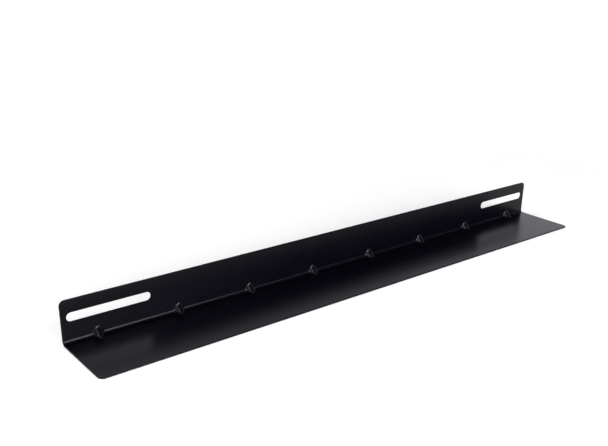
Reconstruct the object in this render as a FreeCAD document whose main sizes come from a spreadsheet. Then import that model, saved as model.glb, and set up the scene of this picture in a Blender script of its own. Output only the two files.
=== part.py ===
import FreeCAD, Part
import math
import os

import Sketcher

# A fixed rack rail: one steel sheet folded into an angle, with a bolt slot near each end of the
# upright flange and a row of gussets pressed into the bend from outside.
# X runs along the rail, +Y points at the mounting face and +Z up. The origin is on the underside,
# in the middle of the rail's length and of its depth.

# Driving dimensions, in millimetres and degrees
SIZES = {
    "rail_length": 600,
    "flange_height": 40,
    "shelf_depth": 70,
    "sheet_thickness": 1.5,
    "bend_radius": 3,
    "corner_radius": 5,
    "slot_length": 76,
    "slot_width": 8,
    "slot_height": 24,
    "slot_end_gap": 5,
    "slot_chamfer": 0.3,
    "gusset_count": 8,
    "gusset_end_gap": 31,
    "gusset_leg": 7.5,
    "gusset_lean": 33,
    "punch_radius": 1.5,
    "foot_radius": 2,
    "rim_radius": 0.5,
    "edge_radius": 0.4,
}
# A rounded edge takes at most this share of the sheet's thickness
EDGE_SHARE = 0.3
# Two faces that meet at more than this angle make a sharp edge
SHARP_DEGREES = 5
SAME_PLACE = 0.001

document = FreeCAD.newDocument("rack_rail")
sheet = document.addObject("Spreadsheet::Sheet", "Sizes")
for row, (alias, value) in enumerate(SIZES.items(), start=1):
    sheet.set(f"A{row}", alias)
    sheet.set(f"B{row}", str(value))
    sheet.setAlias(f"B{row}", alias)
document.recompute()

body = document.addObject("PartDesign::Body", "Rail")
body.Label = "rack_rail"


def size(alias):
    """A driving dimension as it stands in the sheet."""
    return float(sheet.get(alias))


def origin_part(role):
    """One of the body's own origin planes or axes."""
    return next(part for part in body.Origin.OriginFeatures if part.Role == role)


def new_sketch(name, plane):
    """A sketch on one of the body's origin planes."""
    sketch = body.newObject("Sketcher::SketchObject", name)
    sketch.AttachmentSupport = [(origin_part(plane), "")]
    sketch.MapMode = "FlatFace"
    return sketch


def line(sketch, start, end):
    """A straight edge between two points of the sketch."""
    return sketch.addGeometry(Part.LineSegment(FreeCAD.Vector(*start), FreeCAD.Vector(*end)))


def arc(sketch, centre, radius, start_degrees, end_degrees):
    """An anticlockwise arc of the sketch."""
    circle = Part.Circle(FreeCAD.Vector(*centre), FreeCAD.Vector(0, 0, 1), radius)
    return sketch.addGeometry(
        Part.ArcOfCircle(circle, math.radians(start_degrees), math.radians(end_degrees))
    )


def rule(sketch, *terms):
    """A geometric constraint."""
    sketch.addConstraint(Sketcher.Constraint(*terms))


def measure(sketch, name, formula, *terms):
    """A dimension that follows the sheet."""
    index = sketch.addConstraint(Sketcher.Constraint(*terms))
    sketch.renameConstraint(index, name)
    sketch.setExpression(f"Constraints.{name}", formula)


# Ends of a sketch edge, the centre of an arc, and the sketch's own axes and origin
START, END, CENTRE = range(1, 4)
ACROSS, UPRIGHT = -1, -2
ORIGIN = (-1, 1)


# Folded section
def draw_section():
    """The L section, seen along the rail: outside edge first, then back along the inside."""
    sketch = new_sketch("Section", "YZ_Plane")
    thick = size("sheet_thickness")
    inner = size("bend_radius")
    outer = inner + thick
    back = size("shelf_depth") / 2
    top = size("flange_height")
    bend = (back - outer, outer)
    underside = line(sketch, (-back, 0), (back - outer, 0))
    outer_bend = arc(sketch, bend, outer, -90, 0)
    outer_face = line(sketch, (back, outer), (back, top))
    top_edge = line(sketch, (back, top), (back - thick, top))
    inner_face = line(sketch, (back - thick, top), (back - thick, outer))
    inner_bend = arc(sketch, bend, inner, -90, 0)
    shelf_face = line(sketch, (back - outer, thick), (-back, thick))
    front_edge = line(sketch, (-back, thick), (-back, 0))

    rule(sketch, "Tangent", underside, END, outer_bend, START)
    rule(sketch, "Tangent", outer_bend, END, outer_face, START)
    rule(sketch, "Coincident", outer_face, END, top_edge, START)
    rule(sketch, "Coincident", top_edge, END, inner_face, START)
    rule(sketch, "Tangent", inner_face, END, inner_bend, END)
    rule(sketch, "Tangent", inner_bend, START, shelf_face, START)
    rule(sketch, "Coincident", shelf_face, END, front_edge, START)
    rule(sketch, "Coincident", front_edge, END, underside, START)
    rule(sketch, "Coincident", inner_bend, CENTRE, outer_bend, CENTRE)
    for level in (underside, top_edge, shelf_face):
        rule(sketch, "Horizontal", level)
    for plumb in (outer_face, inner_face, front_edge):
        rule(sketch, "Vertical", plumb)
    rule(sketch, "PointOnObject", underside, START, ACROSS)

    measure(sketch, "bend", "Sizes.bend_radius", "Radius", inner_bend, inner)
    measure(sketch, "thickness", "Sizes.sheet_thickness", "Distance", top_edge, thick)
    measure(sketch, "height", "Sizes.flange_height",
            "DistanceY", underside, START, outer_face, END, top)
    measure(sketch, "depth", "Sizes.shelf_depth",
            "DistanceX", underside, START, outer_face, END, 2 * back)
    measure(sketch, "half_depth", "Sizes.shelf_depth / 2",
            "DistanceX", underside, START, *ORIGIN, back)
    return sketch


angle = body.newObject("PartDesign::Pad", "Angle")
angle.Profile = draw_section()
angle.SideType = "Symmetric"
angle.setExpression("Length", "Sizes.rail_length")
document.recompute()


# Picking faces and edges by where they lie
def bend_depth(point):
    """How far a point of the sheet lies under its outside face, round the bend as well."""
    outer = size("bend_radius") + size("sheet_thickness")
    behind = size("shelf_depth") / 2 - point.y
    if behind < outer and point.z < outer:
        return outer - math.hypot(outer - behind, outer - point.z)
    return min(behind, point.z)


def middle_of(edge):
    """The point halfway along an edge."""
    return edge.valueAt((edge.FirstParameter + edge.LastParameter) / 2)


def is_sharp(shape, edge):
    """Whether the two faces at an edge meet at an angle."""
    point = middle_of(edge)
    normals = [
        face.normalAt(*face.Surface.parameter(point))
        for face in shape.ancestorsOfType(edge, Part.Face)
    ]
    if len(normals) != 2:
        return False
    return math.degrees(normals[0].getAngle(normals[1])) > SHARP_DEGREES


def edges_of(feature, test):
    """The names of a feature's edges that pass a test."""
    shape = feature.Shape
    return [f"Edge{i}" for i, edge in enumerate(shape.Edges, start=1) if test(shape, edge)]


def flat_face_of(feature, normal, distance):
    """The name of the flat face with this normal, at this distance from the origin along it."""
    for i, face in enumerate(feature.Shape.Faces, start=1):
        if not isinstance(face.Surface, Part.Plane):
            continue
        if face.normalAt(0, 0).dot(normal) < 1 - SAME_PLACE:
            continue
        if abs(face.CenterOfMass.dot(normal) - distance) < SAME_PLACE:
            return f"Face{i}"
    raise ValueError("no such face")


def round_edges(name, base, edges, formula):
    """A fillet on the named edges of a feature."""
    fillet = body.newObject("PartDesign::Fillet", name)
    fillet.Base = (base, edges)
    fillet.setExpression("Radius", formula)
    document.recompute()
    return fillet


# Rounded corners of both flanges
def is_corner(shape, edge):
    """Whether an edge crosses the sheet at a free corner of either flange."""
    point = middle_of(edge)
    at_end = abs(abs(point.x) - size("rail_length") / 2) < SAME_PLACE
    at_top = abs(point.z - size("flange_height")) < SAME_PLACE
    at_front = abs(point.y + size("shelf_depth") / 2) < SAME_PLACE
    return at_end and (at_top or at_front)


corners = round_edges("Corners", angle, edges_of(angle, is_corner), "Sizes.corner_radius")


# Bolt slots
def draw_slot():
    """The slot at one end of the upright flange, seen from the front."""
    sketch = new_sketch("SlotOutline", "XZ_Plane")
    radius = size("slot_width") / 2
    height = size("slot_height")
    far = -size("rail_length") / 2 + size("slot_end_gap") + radius
    near = far + size("slot_length") - 2 * radius
    far_end = arc(sketch, (far, height), radius, 90, 270)
    lower = line(sketch, (far, height - radius), (near, height - radius))
    near_end = arc(sketch, (near, height), radius, -90, 90)
    upper = line(sketch, (near, height + radius), (far, height + radius))

    rule(sketch, "Tangent", far_end, END, lower, START)
    rule(sketch, "Tangent", lower, END, near_end, START)
    rule(sketch, "Tangent", near_end, END, upper, START)
    rule(sketch, "Tangent", upper, END, far_end, START)
    rule(sketch, "Horizontal", lower)
    measure(sketch, "end_radius", "Sizes.slot_width / 2", "Radius", far_end, radius)
    measure(sketch, "height", "Sizes.slot_height", "DistanceY", *ORIGIN, far_end, CENTRE, height)
    measure(sketch, "straight", "Sizes.slot_length - Sizes.slot_width",
            "DistanceX", far_end, CENTRE, near_end, CENTRE, near - far)
    measure(sketch, "place", "(Sizes.rail_length - Sizes.slot_width) / 2 - Sizes.slot_end_gap",
            "DistanceX", far_end, CENTRE, *ORIGIN, -far)
    return sketch


slot = body.newObject("PartDesign::Pocket", "Slot")
slot.Profile = draw_slot()
slot.SideType = "Symmetric"
slot.Type = "ThroughAll"
document.recompute()

slots = body.newObject("PartDesign::Mirrored", "Slots")
slots.Originals = [slot]
slots.MirrorPlane = (origin_part("YZ_Plane"), [""])
body.Tip = slots
document.recompute()


def is_slot_rim(shape, edge):
    """Whether an edge runs round a slot, on either face of the upright flange."""
    point = middle_of(edge)
    at_height = abs(point.z - size("slot_height")) < size("slot_width")
    inland = abs(point.x) < (size("rail_length") - size("slot_end_gap")) / 2
    return at_height and inland and is_sharp(shape, edge)


slot_rims = body.newObject("PartDesign::Chamfer", "SlotRims")
slot_rims.Base = (slots, edges_of(slots, is_slot_rim))
slot_rims.setExpression("Size", f"min(Sizes.slot_chamfer; {EDGE_SHARE} * Sizes.sheet_thickness)")
document.recompute()


# Pressed gussets
# The turn about X that stands a level sketch on the plane halfway between shelf and flange
GUSSET_TURN = 135


def draw_gusset(name, nose_formula, nose_radius, base_height):
    """A ridge section square to the ridge, on the plane that halves the angle of the bend.

    The sketch's origin is where the two outside faces would meet, and its upright axis points
    into the angle. The flanks are tangent to the rounded nose.
    """
    sketch = new_sketch(name, "XY_Plane")
    sketch.AttachmentOffset = FreeCAD.Placement(
        FreeCAD.Vector(), FreeCAD.Rotation(FreeCAD.Vector(1, 0, 0), GUSSET_TURN)
    )
    sketch.setExpression("AttachmentOffset.Base.x", "Sizes.gusset_end_gap - Sizes.rail_length / 2")
    sketch.setExpression("AttachmentOffset.Base.y", "Sizes.shelf_depth / 2")

    thick = size("sheet_thickness")
    lean = size("gusset_lean")
    slope = math.radians(lean)
    centre = (2 * thick + size("gusset_leg")) / math.sqrt(2) - thick - size("punch_radius")
    touch = (nose_radius * math.cos(slope), centre + nose_radius * math.sin(slope))
    foot = touch[0] + (touch[1] - base_height) * math.tan(slope)
    base = line(sketch, (-foot, base_height), (foot, base_height))
    right = line(sketch, (foot, base_height), touch)
    nose = arc(sketch, (0, centre), nose_radius, lean, 180 - lean)
    left = line(sketch, (-touch[0], touch[1]), (-foot, base_height))

    rule(sketch, "Coincident", base, END, right, START)
    rule(sketch, "Tangent", right, END, nose, START)
    rule(sketch, "Tangent", nose, END, left, START)
    rule(sketch, "Coincident", left, END, base, START)
    rule(sketch, "PointOnObject", nose, CENTRE, UPRIGHT)
    rule(sketch, "Symmetric", base, START, base, END, UPRIGHT)
    measure(sketch, "lean", "90 + Sizes.gusset_lean", "Angle", right, math.pi / 2 + slope)
    measure(sketch, "nose_radius", nose_formula, "Radius", nose, nose_radius)
    measure(sketch, "nose_centre",
            "(2 * Sizes.sheet_thickness + Sizes.gusset_leg) / sqrt(2)"
            " - Sizes.sheet_thickness - Sizes.punch_radius",
            "DistanceY", *ORIGIN, nose, CENTRE, centre)
    return sketch, base


def draw_ridge():
    """The raised side: it starts inside the bend's own fillet, so that no gap is left under it."""
    buried = (math.sqrt(2) - 1) / 2 * size("bend_radius") + math.sqrt(2) * size("sheet_thickness")
    sketch, base = draw_gusset(
        "RidgeSection",
        "Sizes.punch_radius + Sizes.sheet_thickness",
        size("punch_radius") + size("sheet_thickness"),
        buried,
    )
    measure(sketch, "base_height",
            "(sqrt(2) - 1) / 2 * Sizes.bend_radius + sqrt(2) * Sizes.sheet_thickness",
            "DistanceY", *ORIGIN, base, START, buried)
    return sketch


def draw_dent():
    """The hollow side: the same section, one sheet thickness further out."""
    sketch, base = draw_gusset("DentSection", "Sizes.punch_radius", size("punch_radius"), 0)
    rule(sketch, "PointOnObject", base, START, ACROSS)
    return sketch


ridge = body.newObject("PartDesign::Pad", "Ridge")
ridge.Profile = draw_ridge()
ridge.SideType = "Two sides"
ridge.Type = "UpToFace"
ridge.Type2 = "UpToFace"
shelf_top = flat_face_of(slot_rims, FreeCAD.Vector(0, 0, 1), size("sheet_thickness"))
flange_front = flat_face_of(
    slot_rims, FreeCAD.Vector(0, -1, 0), size("sheet_thickness") - size("shelf_depth") / 2
)
ridge.UpToFace = (slot_rims, [shelf_top])
ridge.UpToFace2 = (slot_rims, [flange_front])
document.recompute()

dent = body.newObject("PartDesign::Pocket", "Dent")
dent.Profile = draw_dent()
dent.SideType = "Symmetric"
dent.Type = "Length"
dent.setExpression("Length", "2 * (Sizes.gusset_leg + 2 * Sizes.sheet_thickness)")
document.recompute()

gussets = body.newObject("PartDesign::LinearPattern", "Gussets")
gussets.Originals = [ridge, dent]
gussets.Direction = (origin_part("X_Axis"), [""])
gussets.Mode = "Extent"
gussets.setExpression("Length", "Sizes.rail_length - 2 * Sizes.gusset_end_gap")
gussets.setExpression("Occurrences", "Sizes.gusset_count")
body.Tip = gussets
document.recompute()


# Softened edges
def at_gusset(edge):
    """Whether an edge belongs to a gusset: the rail's other edges lie along its borders and slots."""
    point = middle_of(edge)
    reach = size("gusset_leg") + 2 * size("sheet_thickness")
    near_bend = point.z < reach and size("shelf_depth") / 2 - point.y < reach
    return near_bend and abs(point.x) < size("rail_length") / 2 - SAME_PLACE


def is_foot(shape, edge):
    """Whether an edge lies where a ridge rises from the inside of the sheet."""
    inside = abs(bend_depth(middle_of(edge)) - size("sheet_thickness")) < SAME_PLACE
    return inside and at_gusset(edge) and is_sharp(shape, edge)


def is_rim(shape, edge):
    """Whether an edge lies where a dent sinks from the outside of the sheet."""
    outside = abs(bend_depth(middle_of(edge))) < SAME_PLACE
    return outside and at_gusset(edge) and is_sharp(shape, edge)


def is_border(shape, edge):
    """Whether an edge runs round the outside of the sheet."""
    return is_sharp(shape, edge) and not is_slot_rim(shape, edge)


feet = round_edges("Feet", gussets, edges_of(gussets, is_foot), "Sizes.foot_radius")
rims = round_edges("Rims", feet, edges_of(feet, is_rim), "Sizes.rim_radius")
rail = round_edges("Edges", rims, edges_of(rims, is_border),
                   f"min(Sizes.edge_radius; {EDGE_SHARE} * Sizes.sheet_thickness)")
body.Tip = rail
document.recompute()

# Checks before writing
for item in document.Objects:
    if "Invalid" in item.State or "Error" in item.State:
        raise RuntimeError(f"{item.Name} did not build")
for cut, before in ((slot, corners), (slots, slot), (dent, ridge)):
    if cut.Shape.Volume >= before.Shape.Volume:
        raise RuntimeError(f"{cut.Name} cut nothing")
if body.Shape.isNull() or not body.Shape.isValid() or len(body.Shape.Solids) != 1:
    raise RuntimeError("the rail is not one valid solid")

os.makedirs("parts", exist_ok=True)
body.Shape.exportStep(f"parts/{body.Label}.step")
print(body.Label, "volume", round(body.Shape.Volume), "mm3, box", body.Shape.BoundBox)
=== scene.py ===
import math

import bpy
from mathutils import Matrix, Vector


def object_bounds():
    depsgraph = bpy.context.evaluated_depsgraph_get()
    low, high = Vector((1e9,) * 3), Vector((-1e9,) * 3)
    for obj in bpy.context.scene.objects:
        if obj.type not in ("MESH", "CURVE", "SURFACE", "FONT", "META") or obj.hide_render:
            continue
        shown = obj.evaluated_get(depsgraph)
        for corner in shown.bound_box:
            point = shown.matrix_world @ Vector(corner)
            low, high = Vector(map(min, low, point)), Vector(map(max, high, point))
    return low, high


# A fixed rack rail in satin black powder coat, on a white studio floor.

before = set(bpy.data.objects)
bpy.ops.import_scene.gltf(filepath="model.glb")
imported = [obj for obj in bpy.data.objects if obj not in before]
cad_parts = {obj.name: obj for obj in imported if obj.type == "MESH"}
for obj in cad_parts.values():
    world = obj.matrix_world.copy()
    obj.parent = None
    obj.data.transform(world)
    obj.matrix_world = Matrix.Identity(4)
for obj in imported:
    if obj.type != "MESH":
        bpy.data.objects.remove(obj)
cad_low, cad_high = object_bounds()
scene = bpy.context.scene
scene.view_settings.view_transform = "Standard"

MM = 0.001


# Camera
# The view was worked out from the rail's straight edges, in the 608 by 446 frame.
IMAGE_WIDTH = 608
IMAGE_HEIGHT = 446
FOCAL_PIXELS = 793.5
# Where the camera's axis meets the picture, in pixels from its top left corner
AXIS_COLUMN = 323.9
AXIS_ROW = 266.8
# The camera's place from the middle of the rail's lower outside edge
CAMERA_FROM_EDGE = Vector((-508.4, -575.2, 309.9)) * MM
CAMERA_YAW = 40.17
CAMERA_PITCH = -22.18
CAMERA_ROLL = 1.54
SENSOR_WIDTH = 36


def add_camera():
    """The photograph's viewpoint, aimed by yaw from +Y towards +X, pitch above level and roll."""
    data = bpy.data.cameras.new("camera")
    data.sensor_width = SENSOR_WIDTH
    data.lens = SENSOR_WIDTH * FOCAL_PIXELS / IMAGE_WIDTH
    data.shift_x = (IMAGE_WIDTH / 2 - AXIS_COLUMN) / IMAGE_WIDTH
    data.shift_y = (AXIS_ROW - IMAGE_HEIGHT / 2) / IMAGE_WIDTH
    camera = bpy.data.objects.new("camera", data)
    edge = Vector((0, cad_high.y, cad_low.z))
    turn = (
        Matrix.Rotation(math.radians(-CAMERA_YAW), 4, "Z")
        @ Matrix.Rotation(math.radians(90 + CAMERA_PITCH), 4, "X")
        @ Matrix.Rotation(math.radians(CAMERA_ROLL), 4, "Z")
    )
    camera.matrix_world = Matrix.Translation(edge + CAMERA_FROM_EDGE) @ turn
    scene.collection.objects.link(camera)
    scene.camera = camera


# Node helpers
# The range of a share, from nothing to all
WHOLE = (0, 1)


def new_material(name):
    """A node material with its shader and output."""
    material = bpy.data.materials.new(name)
    material.use_nodes = True
    nodes = material.node_tree.nodes
    return material, nodes, material.node_tree.links, nodes["Principled BSDF"]


def combine(nodes, links, operation, first, second):
    """Two values put together by a product, a maximum or the like."""
    joined = nodes.new("ShaderNodeMath")
    joined.operation = operation
    links.new(first, joined.inputs[0])
    links.new(second, joined.inputs[1])
    return joined.outputs["Value"]


def ramp(nodes, links, value, reach, levels, course="LINEAR"):
    """A value that goes from one level to the other while its source crosses a reach."""
    mapped = nodes.new("ShaderNodeMapRange")
    mapped.interpolation_type = course
    mapped.inputs["From Min"].default_value = reach[0]
    mapped.inputs["From Max"].default_value = reach[1]
    mapped.inputs["To Min"].default_value = levels[0]
    mapped.inputs["To Max"].default_value = levels[1]
    links.new(value, mapped.inputs["Value"])
    return mapped.outputs["Result"]


def mix_colours(nodes, links, share, first, second):
    """Two colours mixed by a share of the second."""
    mixed = nodes.new("ShaderNodeMix")
    mixed.data_type = "RGBA"
    mixed.inputs["A"].default_value = first
    mixed.inputs["B"].default_value = second
    links.new(share, mixed.inputs["Factor"])
    return mixed.outputs["Result"]


# Powder coat
COAT_DARK = (0.0005, 0.0001, 0.0018, 1)
COAT_LIGHT = (0.0013, 0.0005, 0.0030, 1)
COAT_ROUGHNESS = (0.28, 0.33)
COAT_IOR = 1.28
CLOUD_SIZE = 30 * MM
CLOUD_DETAIL = 4
PEEL_SIZE = 1.6 * MM
PEEL_DETAIL = 1
PEEL_HEIGHT = 0.004 * MM
GRAIN_SIZE = 0.35 * MM
GRAIN_DETAIL = 2
GRAIN_HEIGHT = 0.0012 * MM


def noise(nodes, links, place, size, detail):
    """Noise whose blobs are about one size across, in metres."""
    texture = nodes.new("ShaderNodeTexNoise")
    texture.inputs["Scale"].default_value = 1 / size
    texture.inputs["Detail"].default_value = detail
    links.new(place, texture.inputs["Vector"])
    return texture.outputs["Fac"]


def powder_coat():
    """Satin black powder coat: faint clouds in its colour and gloss, orange peel and a fine grain."""
    material, nodes, links, shader = new_material("black_powder_coat")
    place = nodes.new("ShaderNodeTexCoord").outputs["Object"]

    clouds = noise(nodes, links, place, CLOUD_SIZE, CLOUD_DETAIL)
    colour = mix_colours(nodes, links, clouds, COAT_DARK, COAT_LIGHT)
    links.new(colour, shader.inputs["Base Color"])
    roughness = ramp(nodes, links, clouds, WHOLE, COAT_ROUGHNESS)
    links.new(roughness, shader.inputs["Roughness"])

    peel = nodes.new("ShaderNodeBump")
    peel.inputs["Distance"].default_value = PEEL_HEIGHT
    links.new(noise(nodes, links, place, PEEL_SIZE, PEEL_DETAIL), peel.inputs["Height"])
    grain = nodes.new("ShaderNodeBump")
    grain.inputs["Distance"].default_value = GRAIN_HEIGHT
    links.new(noise(nodes, links, place, GRAIN_SIZE, GRAIN_DETAIL), grain.inputs["Height"])
    links.new(peel.outputs["Normal"], grain.inputs["Normal"])
    links.new(grain.outputs["Normal"], shader.inputs["Normal"])

    shader.inputs["IOR"].default_value = COAT_IOR
    return material


# Floor
FLOOR_HALF = 8.0
FLOOR_DROP = 0.1 * MM
# A grey that comes out neutral under the tinted lamps
FLOOR_COLOUR = (0.80, 0.82, 0.75, 1)
# How much the camera sees the floor brightened, at these two distances in metres
FLOOR_GLOW = (0.36, 1.0)
GLOW_REACH = (0.4, 2.0)
# Between these distances the rail's gloss comes to see that brightening too
GLOSS_REACH = (0.15, 0.45)


def white_floor():
    """A pale floor, which the camera sees brightened to white with the rail's shadow on it."""
    material, nodes, links, shader = new_material("studio_floor")
    nodes.remove(shader)
    lit = nodes.new("ShaderNodeBsdfDiffuse")
    lit.inputs["Color"].default_value = FLOOR_COLOUR

    reach = nodes.new("ShaderNodeVectorMath")
    reach.operation = "LENGTH"
    links.new(nodes.new("ShaderNodeTexCoord").outputs["Object"], reach.inputs[0])
    distance = reach.outputs["Value"]
    path = nodes.new("ShaderNodeLightPath")
    away = ramp(nodes, links, distance, GLOSS_REACH, WHOLE)
    gloss = combine(nodes, links, "MULTIPLY", path.outputs["Is Glossy Ray"], away)
    direct = combine(nodes, links, "MAXIMUM", path.outputs["Is Camera Ray"], gloss)
    glow = ramp(nodes, links, distance, GLOW_REACH, FLOOR_GLOW, "SMOOTHSTEP")

    white = nodes.new("ShaderNodeEmission")
    links.new(combine(nodes, links, "MULTIPLY", glow, direct), white.inputs["Strength"])
    both = nodes.new("ShaderNodeAddShader")
    links.new(lit.outputs["BSDF"], both.inputs[0])
    links.new(white.outputs["Emission"], both.inputs[1])
    links.new(both.outputs["Shader"], nodes["Material Output"].inputs["Surface"])
    return material


def add_floor():
    """A wide flat floor just under the rail."""
    level = cad_low.z - FLOOR_DROP
    corners = ((-1, -1), (1, -1), (1, 1), (-1, 1))
    mesh = bpy.data.meshes.new("studio_floor")
    mesh.from_pydata([(x * FLOOR_HALF, y * FLOOR_HALF, level) for x, y in corners], [], [(0, 1, 2, 3)])
    mesh.materials.append(white_floor())
    floor = bpy.data.objects.new("studio_floor", mesh)
    scene.collection.objects.link(floor)


# Light
ROOM_LIGHT = (0.04, 0.04, 0.043, 1)
# How much of the white the rail's gloss sees above the floor
GLOSS_SHARE = 0.1
# A faint violet, as in the photograph's highlights
LAMP_TINT = (1.0, 0.97, 1.07)
WHITE = (1, 1, 1, 1)


def add_world():
    """A dim room, which the camera sees as white and the rail's gloss as grey."""
    world = bpy.data.worlds.new("studio")
    world.use_nodes = True
    nodes = world.node_tree.nodes
    links = world.node_tree.links
    path = nodes.new("ShaderNodeLightPath")
    gloss = ramp(nodes, links, path.outputs["Is Glossy Ray"], WHOLE, (0, GLOSS_SHARE))
    share = combine(nodes, links, "MAXIMUM", path.outputs["Is Camera Ray"], gloss)
    colour = mix_colours(nodes, links, share, ROOM_LIGHT, WHITE)
    links.new(colour, nodes["Background"].inputs["Color"])
    scene.world = world


def add_softbox(name, place, width, height, radiance):
    """A rectangular soft light of an even brightness, aimed at the rail."""
    data = bpy.data.lights.new(name, "AREA")
    data.shape = "RECTANGLE"
    data.size = width
    data.size_y = height
    data.energy = radiance * math.pi * width * height
    data.color = LAMP_TINT
    light = bpy.data.objects.new(name, data)
    light.location = place
    light.rotation_euler = (-Vector(place)).to_track_quat("-Z", "Y").to_euler()
    scene.collection.objects.link(light)


def add_lights():
    """Low panels all round the rail and a wide light above, in metres and by brightness.

    The two on the left light the gussets' flanks. They leave a gap straight along the rail, so that
    the shelf mirrors neither of them when it is seen from its right end.
    """
    add_softbox("left_front_light", (-1.72, -0.35, 0.74), 0.38, 0.7, 10.0)
    add_softbox("left_back_light", (-1.72, 0.34, 0.46), 0.38, 0.6, 11.0)
    add_softbox("front_light", (0.0, -1.93, 0.52), 1.4, 0.75, 15.0)
    add_softbox("right_light", (2.03, 0.41, 0.55), 2.25, 0.9, 1.15)
    add_softbox("back_light", (0.66, 1.64, 1.2), 2.3, 1.0, 0.9)
    add_softbox("back_left_light", (-1.1, 1.45, 1.2), 1.6, 1.0, 0.9)
    add_softbox("low_back_light", (-0.3, 2.0, 0.5), 1.5, 0.6, 0.7)
    add_softbox("top_light", (-0.3, 0.5, 1.7), 1.2, 1.2, 2.5)


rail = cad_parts["rack_rail"]
rail.data.materials.clear()
rail.data.materials.append(powder_coat())
add_floor()
add_world()
add_lights()
add_camera()
